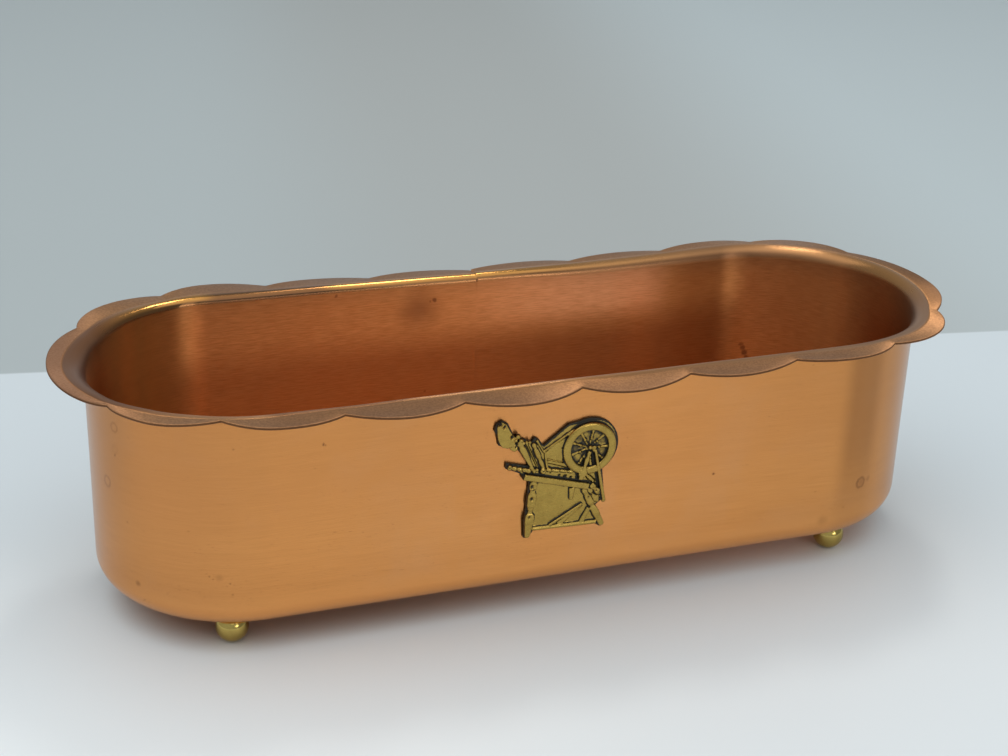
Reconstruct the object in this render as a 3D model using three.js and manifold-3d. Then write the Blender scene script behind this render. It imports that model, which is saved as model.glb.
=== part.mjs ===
// A long copper dish with round ends, a scalloped rim and four ball feet.
// Millimetres, +Z up. The origin is on the table, under the middle of the dish.
// +X runs along the dish, and the cast relief is on the -Y face.

import * as THREE from 'three';
import { LoftGeometry } from 'three/addons/geometries/LoftGeometry.js';
import { mergeVertices } from 'three/addons/utils/BufferGeometryUtils.js';
import Module from 'manifold-3d';

const wasm = await Module();
wasm.setup();

// Body of the dish, a single sheet of copper
const bodyLength = 280;          // outside of the wall, end to end
const bodyWidth = 91;            // outside of the wall, front to back
const bodyHeight = 72;           // underside of the floor to the top of the lip, at mid length
const sheet = 0.8;               // thickness of the copper
const bottomRadius = 8;          // outside radius between floor and wall
const lipRadius = 1.7;           // radius under the rolled-out lip
const rimRise = 1.7;             // how much higher the lip stands at the two ends
const flangeDroop = THREE.MathUtils.degToRad(6);

// Scalloped edge of the flange, measured along the line of its notches
const scallopPitch = 36.5;       // about this long, on the two sides
const endScallopRun = 61;        // the long scallop round each end
const notchReach = 6.7;          // from the wall out to a notch
const sideScallopDepth = 5;      // from the line of notches to a crest
const endScallopDepth = 3.5;
const sideSteps = 5;             // facets on a side scallop
const endSteps = 10;             // facets on an end scallop

// Ball feet
const ballDiameter = 10.5;
const seatLand = 0.9;            // flat ring round the hole, against the floor
const restRadius = 1.3;          // flat underneath, on the table
const ballFloor = 3;             // brass left under the threaded hole
const footTurn = THREE.MathUtils.degToRad(16.4); // round the end, from where the end begins
const footMargin = 0.6;          // from the screw head to the edge of the flat floor

// Foot screws
const screwDiameter = 3.2;
const screwHeadLap = 1.3;        // head beyond the shank
const screwHeadHeight = 2;
const slotWidth = 0.8;
const slotDepth = 0.9;
const screwTipGap = 0.6;         // under the tip, in the ball

// Gaps round a shank or stud, and behind the relief and the nuts
const clearance = 0.3;
const seatGap = 0.2;

// Cast relief of a spinning wheel on the front wall
const reliefX = 5.8;             // hub of its wheel, from the middle of the dish
const reliefTopMargin = 7.4;     // figure to the start of the lip
const reliefFootMargin = 11.5;   // figure to the rounded bottom edge
const studDiameter = 2.4;
const studTip = 0.6;             // stud beyond its nut

// Push-on nuts on the studs, inside the wall
const nutLap = 2.5;              // ring beyond the bore
const nutThickness = 0.6;
const nutDish = 0.5;             // how far the middle stands up

// The relief is drawn in units of its own, from the hub of its wheel, and is then scaled as a
// whole to the height it has on the wall. Heights are above its flat back.
const figure = {
  backing: 0.9,                  // thickness of the plate behind it all
  border: 0.6,                   // plate beyond the wheel
  wheel: { radius: 9, rimWidth: 2.6, height: 2.4, softness: 0.4, hub: 1.2 },
  spokes: { count: 9, radius: 0.45, turn: 0.95 },
  turnedHeight: 1.1,             // axis of the turned posts and legs
  postHeight: 1.7,               // axis of the wheel post
  rodHeight: 2.2,
  rodRadius: 0.55,
  rodKnob: 0.9,
  linkRadius: 0.6,               // plain bars
  fillHeight: 1.4,
  benchHeight: 2.3,
  benchWidth: 2.1,
  bulbs: [{ at: [-29.3, 10.3], radius: 2.2 }, { at: [-28, 6], radius: 2.6 }],
  distaff: [[-24.4, 5.6], [-18.1, -6.2]],
  maiden: [[-18.4, 4.7], [-14.9, -6]],
  handle: [[-27.6, -2.8], [-18.6, -5.6]],
  bench: [[-21.8, -7], [0.2, -13.6]],
  spindle: [[-16.4, -6.3], [-5.9, -7.2]],
  wheelPost: [[0, 0], [-3, -9.6]],
  rod: [[1.6, 0.4], [5.2, -18.4]],
  leftLeg: [[-18, -9.4], [-20.1, -29.2]],
  rightLeg: [[-1.8, -14.2], [5.2, -28.6]],
  farLeg: [[-0.2, -20.6], [-2.2, -26.2]],
  treadle: [[-1.8, -20.1], [-12.4, -25.6]],
  base: [[-18.6, -26.3], [3.4, -26.2]],
  peg: [[-4.8, -13.4], [-5.4, -17.2]],
  brace: [[0.8, -13.4], [5.2, -18.6]],
  band: [[-14.9, 0.6], [-5.4, 7.4]],
  lowBand: [[-14.4, -2.6], [-7.6, -4.9]],
  fill: [[-14.6, 0.2], [-7, 5.6], [-9.2, 1.4], [-8.2, -4], [-14, -2.2]],
  plates: [
    [[-19.6, -7.6], [-0.4, -12.6], [0.4, -9], [5, -7], [6.4, -18.6], [3.4, -21], [6.2, -27.4],
      [5.4, -29.2], [2.6, -27.2], [-17.6, -27.2], [-19.4, -29.6], [-21, -29.4], [-20.6, -20]],
    [[-26.2, 4.2], [-24.2, 7], [-19.4, 4.4], [-18.4, 5.6], [-16.4, 4], [-14.6, 1.6],
      [-5.8, 8], [0.4, -9], [0.2, -13], [-19.4, -7.4], [-20.6, -1]],
    [[-31.2, 12], [-29.3, 13], [-27.3, 11.6], [-25, 6.6], [-24.6, 3.8], [-27.4, 3],
      [-30.4, 4.6], [-30.6, 7.6], [-31.8, 9.6]],
    [[-27.6, -1.8], [-19, -4.2], [-18, -6], [-21, -8.6], [-22.8, -6.2], [-27.8, -3.8]],
  ],
  studs: [{ name: 'left', at: [-10, -19] }, { name: 'right', at: [0, 0] }],
};

// Worked out from the sizes above
const quarter = Math.PI / 2;
const wallHalf = bodyWidth / 2;
const endCentre = bodyLength / 2 - wallHalf;
const notchRadius = wallHalf + notchReach;
const rimRun = 4 * endCentre + 4 * quarter * notchRadius;
const sideScallops = Math.max(1, Math.round((rimRun / 2 - endScallopRun) / scallopPitch));
const sideRun = rimRun / 2 - endScallopRun;
const holeRadius = screwDiameter / 2 + clearance;
const seatRadius = holeRadius + seatLand;
const ballRadius = ballDiameter / 2;
const centreToSeat = Math.sqrt(ballRadius ** 2 - seatRadius ** 2);
const centreToTable = Math.sqrt(ballRadius ** 2 - restRadius ** 2);
const footHeight = centreToSeat + centreToTable;
const screwHeadRadius = screwDiameter / 2 + screwHeadLap;
const footReach = wallHalf - bottomRadius - footMargin - Math.max(screwHeadRadius, seatRadius);
const lipCentre = bodyHeight - sheet - lipRadius;
const reliefHeight = lipCentre - bottomRadius - reliefTopMargin - reliefFootMargin;
const plateHeights = figure.plates.flat().map(([, y]) => y);
const figureFoot = Math.min(...plateHeights);
const figureHeight = Math.max(...plateHeights) - figureFoot;
const figureScale = reliefHeight / figureHeight;
const hubHeight = footHeight + bottomRadius + reliefFootMargin - figureFoot * figureScale;
const boreRadius = studDiameter / 2 + clearance;

const copper = { color: 0xc07a45, metalness: 1, roughness: 0.38 };
const polishedBrass = { color: 0xb5a04a, metalness: 1, roughness: 0.16 };
const castBrass = { color: 0x9c8a3c, metalness: 1, roughness: 0.34 };
const screwBrass = { color: 0xa8924c, metalness: 1, roughness: 0.3 };
const nutSteel = { color: 0x8e8f92, metalness: 1, roughness: 0.42 };

// Closed geometry to solid, and back
function solid(geometry) {
  const bare = geometry.index ? geometry.toNonIndexed() : geometry.clone();
  bare.deleteAttribute('normal');
  bare.deleteAttribute('uv');
  const merged = mergeVertices(bare, 1e-5);
  const index = merged.index.array;
  const triVerts = [];
  for (let i = 0; i < index.length; i += 3) {
    const [a, b, c] = index.slice(i, i + 3);
    if (a !== b && b !== c && c !== a) triVerts.push(a, b, c);
  }
  return new wasm.Manifold(new wasm.Mesh({
    numProp: 3,
    vertProperties: new Float32Array(merged.attributes.position.array),
    triVerts: new Uint32Array(triVerts),
  }));
}

function geometryOf(manifold) {
  const mesh = manifold.getMesh();
  const geometry = new THREE.BufferGeometry();
  geometry.setAttribute('position', new THREE.BufferAttribute(mesh.vertProperties, 3));
  geometry.setIndex(new THREE.BufferAttribute(mesh.triVerts, 1));
  geometry.computeVertexNormals();
  return geometry;
}

function named(name, geometry, finish) {
  const mesh = new THREE.Mesh(geometry, new THREE.MeshStandardMaterial(finish));
  mesh.name = name;
  return mesh;
}

function cylinder(radius, height, sides) {
  return new THREE.CylinderGeometry(radius, radius, height, sides);
}

// Turned about Z, from a list of [radius, z]
function turned(profile, segments) {
  const points = profile.map(([radius, z]) => new THREE.Vector2(radius, z));
  return new THREE.LatheGeometry(points, segments).rotateX(quarter);
}

// Points [u, v] of a circular arc from one angle to another
function arc(u, v, radius, from, to, steps) {
  const points = [];
  for (let i = 0; i <= steps; i++) {
    const angle = from + (to - from) * i / steps;
    points.push([u + radius * Math.cos(angle), v + radius * Math.sin(angle)]);
  }
  return points;
}

// Where a distance along the line of notches, from the middle of the front, lies in plan:
// a point on the centre line of the dish, and the direction outwards from it
function station(distance) {
  const side = 2 * endCentre;
  const end = 2 * quarter * notchRadius;
  const s = ((distance + endCentre) % rimRun + rimRun) % rimRun;
  if (s < side) return { x: s - endCentre, angle: -quarter };
  if (s < side + end) return { x: endCentre, angle: (s - side) / notchRadius - quarter };
  if (s < 2 * side + end) return { x: endCentre - (s - side - end), angle: quarter };
  return { x: -endCentre, angle: (s - 2 * side - end) / notchRadius + quarter };
}

// Height of a round crest over its chord, at a fraction along it
function crest(chord, depth, fraction) {
  const radius = (chord ** 2 / 4 + depth ** 2) / (2 * depth);
  return Math.sqrt(radius ** 2 - (chord * (fraction - 0.5)) ** 2) - (radius - depth);
}

// All stations once round the rim, each with its reach to the scalloped edge
function rimStations() {
  const pitch = sideRun / sideScallops;
  const list = [];
  const add = (start, run, steps, depth) => {
    for (let i = 0; i < steps; i++) {
      const reach = notchReach + crest(run, depth, i / steps);
      list.push({ ...station(start + run * i / steps), reach });
    }
  };
  for (const half of [0, rimRun / 2]) {
    const start = half - sideRun / 2;
    for (let i = 0; i < sideScallops; i++) {
      add(start + i * pitch, pitch, sideSteps, sideScallopDepth);
    }
    add(start + sideRun, endScallopRun, endSteps, endScallopDepth);
  }
  return list;
}

// Half section of the sheet, from the centre line underneath round to the centre line on top.
// u is the distance outside the wall and v the height above the underside. The two points of
// the scalloped edge slope down from the lip, as far out as their station reaches.
function sheetSection() {
  const tilt = Math.tan(flangeDroop);
  const outer = arc(-bottomRadius, bottomRadius, bottomRadius, -quarter, 0, 4);
  const underLip = arc(lipRadius, lipCentre, lipRadius, 2 * quarter, quarter - flangeDroop, 3);
  const overLip = arc(lipRadius, lipCentre, lipRadius + sheet, quarter - flangeDroop, 2 * quarter, 4);
  const inner = arc(-bottomRadius, bottomRadius, bottomRadius - sheet, 0, -quarter, 4);
  const plain = ([u, v]) => () => ({ u, v, rises: false });
  const lip = ([u, v]) => () => ({ u, v, rises: true });
  const edge = ([u, v]) => (reach) => ({ u: reach, v: v - (reach - u) * tilt, rises: true });
  return [
    plain([-wallHalf, 0]),
    ...outer.map(plain),
    ...underLip.map(lip),
    edge(underLip.at(-1)),
    edge(overLip[0]),
    ...overLip.map(lip),
    ...inner.map(plain),
    plain([-wallHalf, sheet]),
  ];
}

function dishBody() {
  const stations = rimStations();
  const rings = sheetSection().map((point) => stations.map(({ x, angle, reach }) => {
    const { u, v, rises } = point(reach);
    const px = x + (wallHalf + u) * Math.cos(angle);
    const py = (wallHalf + u) * Math.sin(angle);
    const rise = rises ? rimRise * (2 * px / bodyLength) ** 2 : 0;
    return new THREE.Vector3(px, py, footHeight + v + rise);
  }));
  const drill = 4 * sheet;
  let shell = solid(new LoftGeometry(rings));
  for (const { x, y } of feet()) {
    const hole = cylinder(holeRadius, drill, 16).rotateX(quarter);
    shell = shell.subtract(solid(hole.translate(x, y, footHeight)));
  }
  for (const { x, z } of studPlaces()) {
    const hole = cylinder(boreRadius, drill, 16);
    shell = shell.subtract(solid(hole.translate(x, -wallHalf, z)));
  }
  return named('dish_body', geometryOf(shell), copper);
}

function feet() {
  const x = endCentre + footReach * Math.sin(footTurn);
  const y = footReach * Math.cos(footTurn);
  return [
    { name: 'front_left', x: -x, y: -y },
    { name: 'front_right', x, y: -y },
    { name: 'back_left', x: -x, y },
    { name: 'back_right', x, y },
  ];
}

// A ball with a flat seat, a small flat to stand on and a blind hole from above
function ballFoot({ name, x, y }) {
  const low = -Math.acos(restRadius / ballRadius);
  const high = Math.acos(seatRadius / ballRadius);
  const profile = [
    [0, 0],
    ...arc(0, centreToTable, ballRadius, low, high, 9),
    [holeRadius, footHeight],
    [holeRadius, ballFloor],
    [0, ballFloor],
  ];
  const mesh = named(`foot_${name}`, turned(profile, 22), polishedBrass);
  mesh.position.set(x, y, 0);
  return mesh;
}

// A slotted round-head screw, from the inside of the floor down into the ball
function footScrew({ name, x, y }) {
  const tip = ballFloor + screwTipGap;
  const seat = footHeight + sheet;
  const top = seat + screwHeadHeight;
  const dome = (screwHeadRadius ** 2 + screwHeadHeight ** 2) / (2 * screwHeadHeight);
  const spread = Math.asin(screwHeadRadius / dome);
  const head = arc(0, top - dome, dome, quarter - spread, quarter, 4).slice(0, -1);
  const shank = screwDiameter / 2;
  const profile = [[0, tip], [shank, tip], [shank, seat], ...head, [0, top]];
  const slot = new THREE.BoxGeometry(3 * screwHeadRadius, slotWidth, 2 * slotDepth);
  const screw = solid(turned(profile, 16)).subtract(solid(slot.translate(0, 0, top)));
  const mesh = named(`foot_screw_${name}`, geometryOf(screw), screwBrass);
  mesh.position.set(x, y, 0);
  return mesh;
}

// A turned bar lying along a line of the figure: knobs is a list of [fraction along, radius]
function bar([from, to], knobs, height = figure.turnedHeight, sides = 8) {
  const [dx, dy] = [to[0] - from[0], to[1] - from[1]];
  const length = Math.hypot(dx, dy);
  const points = knobs.map(([along, radius]) => new THREE.Vector2(radius, along * length));
  points.unshift(new THREE.Vector2(0, points[0].y));
  points.push(new THREE.Vector2(0, points.at(-1).y));
  const geometry = new THREE.LatheGeometry(points, sides);
  geometry.rotateZ(Math.atan2(dy, dx) - quarter);
  return solid(geometry.translate(from[0], from[1], height));
}

function plainBar(line, radius = figure.linkRadius, height = figure.backing) {
  return bar(line, [[0, radius], [1, radius]], height, 6);
}

function slab(points, height) {
  const shape = new THREE.Shape(points.map(([x, y]) => new THREE.Vector2(x, y)));
  return solid(new THREE.ExtrudeGeometry(shape, { depth: height, bevelEnabled: false }));
}

function ball([x, y], radius, height) {
  return solid(new THREE.SphereGeometry(radius, 12, 8).translate(x, y, height));
}

// The plate behind the figure, a little larger than its outline
function backingPlate() {
  const { backing, border, wheel: { radius } } = figure;
  const disc = cylinder(radius + border, backing, 36).rotateX(quarter);
  return wasm.Manifold.union([
    solid(disc.translate(0, 0, backing / 2)),
    ...figure.plates.map((outline) => slab(outline, backing)),
  ]);
}

function wheel() {
  const { radius, rimWidth, height, softness, hub } = figure.wheel;
  const { count, radius: thin, turn } = figure.spokes;
  const inner = radius - rimWidth;
  const rim = [
    [inner, 0],
    [radius, 0],
    [radius, height - softness],
    [radius - softness, height],
    [inner + softness, height],
    [inner, height - softness],
    [inner, 0],
  ];
  const thick = 1.7 * thin;
  const knobs = [[0.1, thin], [0.5, thin], [0.68, thick], [0.86, thin], [1, thick]];
  const list = [solid(turned(rim, 36)), ball([0, 0], hub, height - hub / 2)];
  for (let i = 0; i < count; i++) {
    const angle = 4 * quarter * (i + turn) / count;
    const tip = [Math.cos(angle), Math.sin(angle)].map((part) => part * (inner + softness));
    list.push(bar([[0, 0], tip], knobs, figure.turnedHeight, 6));
  }
  return list;
}

function turnedParts() {
  const leg = [[0, 0.9], [0.1, 1.2], [0.16, 0.8], [0.24, 1.3], [0.42, 1.35], [0.5, 0.75],
    [0.56, 1.15], [0.66, 1.1], [0.74, 0.7], [0.86, 1.1], [1, 0.7]];
  const post = [[0, 0.8], [0.1, 1.1], [0.2, 0.6], [0.32, 1.1], [0.55, 1.15], [0.75, 0.8], [1, 0.75]];
  const wheelPost = [[0.08, 0.7], [0.4, 0.8], [0.55, 1.1], [0.8, 0.9], [1, 1.6]];
  const handle = [[0, 0.7], [0.1, 1.1], [0.2, 0.6], [0.32, 0.95], [0.44, 0.6], [0.56, 0.95],
    [0.68, 0.6], [0.85, 0.95], [1, 0.8]];
  const spindle = [[0, 0.6], [0.2, 0.8], [0.35, 0.5], [0.6, 0.7], [0.8, 0.5], [1, 0.7]];
  const brace = [[0, 1], [0.25, 1.2], [0.4, 0.8], [0.65, 1.1], [0.8, 0.8], [1, 1]];
  return [
    bar(figure.leftLeg, leg),
    bar(figure.rightLeg, leg),
    bar(figure.farLeg, [[0, 0.9], [1, 0.75]]),
    bar(figure.distaff, post),
    bar(figure.maiden, post),
    bar(figure.wheelPost, wheelPost, figure.postHeight),
    bar(figure.handle, handle),
    bar(figure.spindle, spindle),
    bar(figure.brace, brace),
  ];
}

function bench() {
  const [[x0, y0], [x1, y1]] = figure.bench;
  const length = Math.hypot(x1 - x0, y1 - y0);
  const { benchWidth, benchHeight } = figure;
  const box = new THREE.BoxGeometry(length, benchWidth, benchHeight);
  box.translate(length / 2, 0, benchHeight / 2).rotateZ(Math.atan2(y1 - y0, x1 - x0));
  return solid(box.translate(x0, y0, 0));
}

// Everything that stands up from the plate, cut flat at the back
function raisedParts() {
  const { backing, fillHeight, linkRadius, rod, rodHeight, rodRadius, rodKnob } = figure;
  const parts = wasm.Manifold.union([
    ...wheel(),
    ...turnedParts(),
    bench(),
    slab(figure.fill, fillHeight),
    ...figure.bulbs.map(({ at, radius }) => ball(at, radius, backing / 2)),
    ball(rod[1], rodKnob, figure.wheel.height - rodKnob),
    plainBar(rod, rodRadius, rodHeight),
    plainBar(figure.treadle),
    plainBar(figure.base),
    plainBar(figure.peg),
    plainBar(figure.band, linkRadius, fillHeight),
    plainBar(figure.lowBand),
  ]);
  const size = 4 * figureHeight;
  const front = new THREE.BoxGeometry(size, size, size).translate(0, 0, size / 2);
  return parts.intersect(solid(front));
}

// Hollows that the overlapping bars close off are filled, as they are in a casting
function filled(manifold) {
  return wasm.Manifold.union(manifold.decompose().filter((shell) => shell.volume() > 0));
}

function studPlaces() {
  return figure.studs.map(({ name, at: [x, y] }) => ({
    name,
    x: reliefX + x * figureScale,
    z: hubHeight + y * figureScale,
  }));
}

function relief() {
  const back = -seatGap - sheet - seatGap - nutThickness - nutDish - studTip;
  const front = figure.backing * figureScale / 2;
  const cast = geometryOf(wasm.Manifold.union([backingPlate(), raisedParts()]));
  const studSolids = figure.studs.map(({ at: [x, y] }) => {
    const stud = cylinder(studDiameter / 2, front - back, 14).rotateX(quarter);
    return solid(stud.translate(x * figureScale, y * figureScale, (front + back) / 2));
  });
  cast.scale(figureScale, figureScale, figureScale);
  const whole = filled(wasm.Manifold.union([solid(cast), ...studSolids]));
  const mesh = named('emblem', geometryOf(whole), castBrass);
  mesh.rotation.x = quarter;
  mesh.position.set(reliefX, -wallHalf - seatGap, hubHeight);
  return mesh;
}

// A push-on nut: a ring that stands up towards its bore, on a stud inside the wall
function pushNut({ name, x, z }) {
  const outside = boreRadius + nutLap;
  const knee = boreRadius + 0.4 * nutLap;
  const profile = [
    [boreRadius, nutDish],
    [knee, 0],
    [outside, 0],
    [outside, nutThickness],
    [knee, nutThickness],
    [boreRadius, nutThickness + nutDish],
    [boreRadius, nutDish],
  ];
  const mesh = named(`emblem_nut_${name}`, turned(profile, 18), nutSteel);
  mesh.rotation.x = -quarter;
  mesh.position.set(x, -wallHalf + sheet + seatGap, z);
  return mesh;
}

const dish = new THREE.Group();
dish.add(dishBody());
for (const foot of feet()) dish.add(ballFoot(foot), footScrew(foot));
dish.add(relief());
for (const place of studPlaces()) dish.add(pushNut(place));

export default dish;
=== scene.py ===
import math
from collections import namedtuple

import bmesh
import bpy
import numpy as np
from mathutils import Matrix, Vector, noise

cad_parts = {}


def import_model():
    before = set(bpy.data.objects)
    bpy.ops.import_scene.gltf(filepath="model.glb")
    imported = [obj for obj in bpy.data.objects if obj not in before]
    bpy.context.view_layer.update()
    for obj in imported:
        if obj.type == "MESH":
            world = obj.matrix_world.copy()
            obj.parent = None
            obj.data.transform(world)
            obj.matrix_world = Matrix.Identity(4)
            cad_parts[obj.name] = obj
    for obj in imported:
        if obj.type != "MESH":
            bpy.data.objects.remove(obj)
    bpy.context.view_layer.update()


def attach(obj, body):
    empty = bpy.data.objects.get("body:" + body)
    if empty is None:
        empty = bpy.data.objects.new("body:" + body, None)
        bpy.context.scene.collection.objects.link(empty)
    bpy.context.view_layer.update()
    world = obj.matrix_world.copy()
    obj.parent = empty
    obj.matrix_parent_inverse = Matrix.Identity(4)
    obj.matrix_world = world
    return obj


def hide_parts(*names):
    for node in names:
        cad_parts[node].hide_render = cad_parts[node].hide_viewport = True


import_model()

# A long copper dish on four ball feet. Sizes are in millimetres until a mesh is made.
MM = 0.001
QUARTER = math.pi / 2

# Body
WALL = 45.5                 # from the centre line to the outside of the wall
END = 94.5                  # from the middle to the centre of a round end
FLOOR_Z = 9.5275            # underside of the floor
SHEET = 0.8
BEND = 8.0                  # outside radius between floor and wall
LIP_RADIUS = 1.7
LIP_Z = 69.5                # centre of the lip's curve, above the underside
RIM_RISE = 1.7              # how much higher the rim is at the ends than in the middle
BODY_LENGTH = 280.0
DROOP = math.radians(6)     # slope of the flange
EDGE_ROUND = 0.18           # radius of the flange's cut edge
WAVINESS = 0.22             # how far the wall strays from flat, at half its height
SEAM_MARK = 0.02            # depth of the seam down the back wall
SEAM_NOTCH = 1.1            # depth of the seam's notch in the flange's edge
SEAM_STEP = 0.14            # how far the two ends of the rim are apart in height, each way
SEAM_STEPS = (0.2, 0.5, 1.0)

# Scallops, along the line of notches
NOTCH = 6.7                 # from the wall to a notch
SIDE_DEPTH, END_DEPTH = 5.0, 3.5
END_RUN = 61.0              # length of the scallop round an end
SIDE_SCALLOPS = 8

NOTCH_RADIUS = WALL + NOTCH
RIM_RUN = 4 * END + 4 * QUARTER * NOTCH_RADIUS
PITCH = (RIM_RUN / 2 - END_RUN) / SIDE_SCALLOPS

# How the rim strays from its even shape, once round from the seam. Each row: distance, radius of
# the lip, how much higher the lip and the outer edge stand, how much wider the flange is, and how
# far its scallops are shifted along.
RIM = [
    (0.0, 1.75, 0.45, -0.25, 0.04, 0.11), (50.0, 1.58, 0.82, -0.2, 0.31, 0.47),
    (94.5, 1.83, 0.84, 0.68, 0.48, -0.72), (122.0, 1.98, 0.48, 0.58, 0.43, -1.14),
    (150.0, 3.23, -0.34, 0.82, 1.21, -1.22), (176.5, 5.2, -1.17, 1.38, 0.57, -0.23),
    (200.0, 5.2, -0.63, -0.12, 0.49, 1.29), (220.0, 4.39, 0.07, 0.48, -0.97, 1.82),
    (238.0, 4.38, 0.35, 0.57, -1.08, 0.87), (258.5, 3.74, 0.03, 0.24, -0.5, 1.12),
    (280.0, 2.75, -0.23, 0.2, -0.16, 0.33), (305.0, 1.67, -0.2, 0.18, 0.31, -0.11),
    (353.0, 2.28, 0.58, -1.16, -0.39, 0.95), (400.0, 2.2, 0.38, -0.01, -0.23, 0.07),
    (447.5, 2.49, 0.11, 1.0, 0.12, 0.31), (488.0, 4.02, -0.35, 1.49, 0.27, -0.4),
    (529.5, 2.69, 0.57, -0.61, 1.36, 0.13), (570.0, 3.1, 0.22, 0.25, 0.42, 1.23),
    (611.5, 3.29, 0.49, -0.1, 0.56, 0.63), (656.0, 2.81, -0.01, -0.04, 0.06, -0.92),
]

# Feet and screws
BALL = 5.25                 # radius of a foot
SEAT, REST = 2.8, 1.3       # radii of its flats, under the floor and on the table
HOLE = 1.9                  # radius
FOOT_X, FOOT_Y = 104.0997, 32.6169
SCREW_HEAD, SCREW_HEIGHT = 2.9, 2.0
SHANK, SCREW_FOOT = 1.6, 3.6    # the screw's radius and the height of its lower end
CORNERS = {
    "front_left": (-FOOT_X, -FOOT_Y),
    "front_right": (FOOT_X, -FOOT_Y),
    "back_left": (-FOOT_X, FOOT_Y),
    "back_right": (FOOT_X, FOOT_Y),
}
SLOT_TURNS = {"front_left": 0.4, "front_right": 1.3, "back_left": 2.2, "back_right": 2.9}

# Relief
HUB = Vector((5.8, -WALL - 0.2, 58.6275))
STUDS = {"left": (-10.0, -19.0), "right": (0.0, 0.0)}
STUD, STUD_HOLE = 1.2, 1.5  # radii
RELIEF_SHIFT, RELIEF_SCALE = (0.35, -0.9), 0.981
SPOKES = 9
GROUND = 0.9                # thickness of the flat ground behind the figure
DEEPEST = 0.6               # dents stop at this height


def unit(value):
    """The value, held between 0 and 1."""
    return min(1.0, max(0.0, value))


def eased(t):
    """From 0 to 1, slow at both ends."""
    return t * t * (3 - 2 * t)


# ---- meshes

def mesh_object(name, verts, faces, smooth=True):
    mesh = bpy.data.meshes.new(name)
    mesh.from_pydata([Vector(v) * MM for v in verts], [], faces)
    obj = bpy.data.objects.new(name, mesh)
    bpy.context.scene.collection.objects.link(obj)
    tidy_normals(obj)
    if smooth:
        mesh.polygons.foreach_set("use_smooth", [True] * len(mesh.polygons))
    return obj


def tidy_normals(obj):
    bm = bmesh.new()
    bm.from_mesh(obj.data)
    bmesh.ops.recalc_face_normals(bm, faces=bm.faces)
    bm.to_mesh(obj.data)
    bm.free()


def apply_modifiers(obj):
    graph = bpy.context.evaluated_depsgraph_get()
    mesh = bpy.data.meshes.new_from_object(obj.evaluated_get(graph))
    old = obj.data
    obj.modifiers.clear()
    obj.data = mesh
    mesh.name = obj.name
    bpy.data.meshes.remove(old)


def cut(obj, cutter):
    modifier = obj.modifiers.new("cut", "BOOLEAN")
    modifier.operation, modifier.solver, modifier.object = "DIFFERENCE", "EXACT", cutter
    apply_modifiers(obj)
    bpy.data.objects.remove(cutter)


def arc(u, v, radius, start, end, steps):
    angles = [start + (end - start) * i / steps for i in range(steps + 1)]
    return [(u + radius * math.cos(a), v + radius * math.sin(a)) for a in angles]


def lathe(profile, segments):
    """Verts and faces of [radius, z] points turned about Z. Ends on the axis close it."""
    verts, rows = [], []
    for radius, z in profile:
        if radius < 1e-6:
            rows.append([len(verts)] * segments)
            verts.append((0, 0, z))
            continue
        rows.append(list(range(len(verts), len(verts) + segments)))
        for i in range(segments):
            a = 4 * QUARTER * i / segments
            verts.append((radius * math.cos(a), radius * math.sin(a), z))
    faces = []
    for low, high in zip(rows, rows[1:]):
        for i in range(segments):
            j = (i + 1) % segments
            face = list(dict.fromkeys((low[i], low[j], high[j], high[i])))
            if len(face) > 2:
                faces.append(face)
    return verts, faces


def moved(shape, matrix):
    verts, faces = shape
    return [matrix @ Vector(v) for v in verts], faces


def joined(shapes):
    verts, faces = [], []
    for part_verts, part_faces in shapes:
        faces += [[i + len(verts) for i in face] for face in part_faces]
        verts += part_verts
    return verts, faces


def pin(radius, length):
    return lathe([(0, 0), (radius, 0), (radius, length), (0, length)], 32)


# ---- the dish

def station(distance):
    """Plan position on the centre line, and direction outwards, along the line of notches."""
    side, end = 2 * END, 2 * QUARTER * NOTCH_RADIUS
    s = (distance + END) % RIM_RUN
    if s < side:
        return s - END, -QUARTER
    if s < side + end:
        return END, (s - side) / NOTCH_RADIUS - QUARTER
    if s < 2 * side + end:
        return END - (s - side - end), QUARTER
    return -END, (s - 2 * side - end) / NOTCH_RADIUS + QUARTER


def crest(chord, depth, fraction):
    radius = (chord ** 2 / 4 + depth ** 2) / (2 * depth)
    return math.sqrt(radius ** 2 - (chord * (fraction - 0.5)) ** 2) - (radius - depth)


def rim_shape(distance):
    """The RIM values at a distance from the seam."""
    for low, high in zip(RIM, RIM[1:] + [(RIM_RUN, *RIM[0][1:])]):
        if distance <= high[0]:
            part = eased((distance - low[0]) / (high[0] - low[0]))
            return [a + (b - a) * part for a, b in zip(low[1:], high[1:])]


# A place along the rim: plan position and direction, how far the flange reaches from the wall,
# distances along the sheet and from the seam, radius and height of the lip's curve, and how much
# higher the lip and the outer edge stand.
Station = namedtuple("Station", "x nx ny reach along seam radius middle raised edge_raised")


def rim_stations():
    """Once round, from the seam at the middle of the back."""
    side, end = (PITCH, SIDE_DEPTH, 22), (END_RUN, END_DEPTH, 46)
    half = [side] * (SIDE_SCALLOPS // 2)
    runs = half + [end] + half + half + [end] + half
    stations, start = [], 0.0
    for number, (run, depth, steps) in enumerate(runs):
        places = [run * i / steps for i in range(steps)]
        if number == 0:
            places += SEAM_STEPS
        if number == len(runs) - 1:
            places += [run - step for step in SEAM_STEPS]
        for distance in sorted(places):
            radius, raised, edge_raised, wider, shift = rim_shape(start + distance)
            along = start + distance + shift
            seam = min(start + distance, RIM_RUN - start - distance)
            x, angle = station(along + RIM_RUN / 2)
            reach = NOTCH + crest(run, depth, distance / run) + wider
            reach -= SEAM_NOTCH * max(0.0, 1 - seam / 0.5)
            stations.append(Station(x, math.cos(angle), math.sin(angle), reach, along, seam,
                                    radius, LIP_Z + LIP_RADIUS - radius, raised, edge_raised))
        start += run
    return stations


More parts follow.
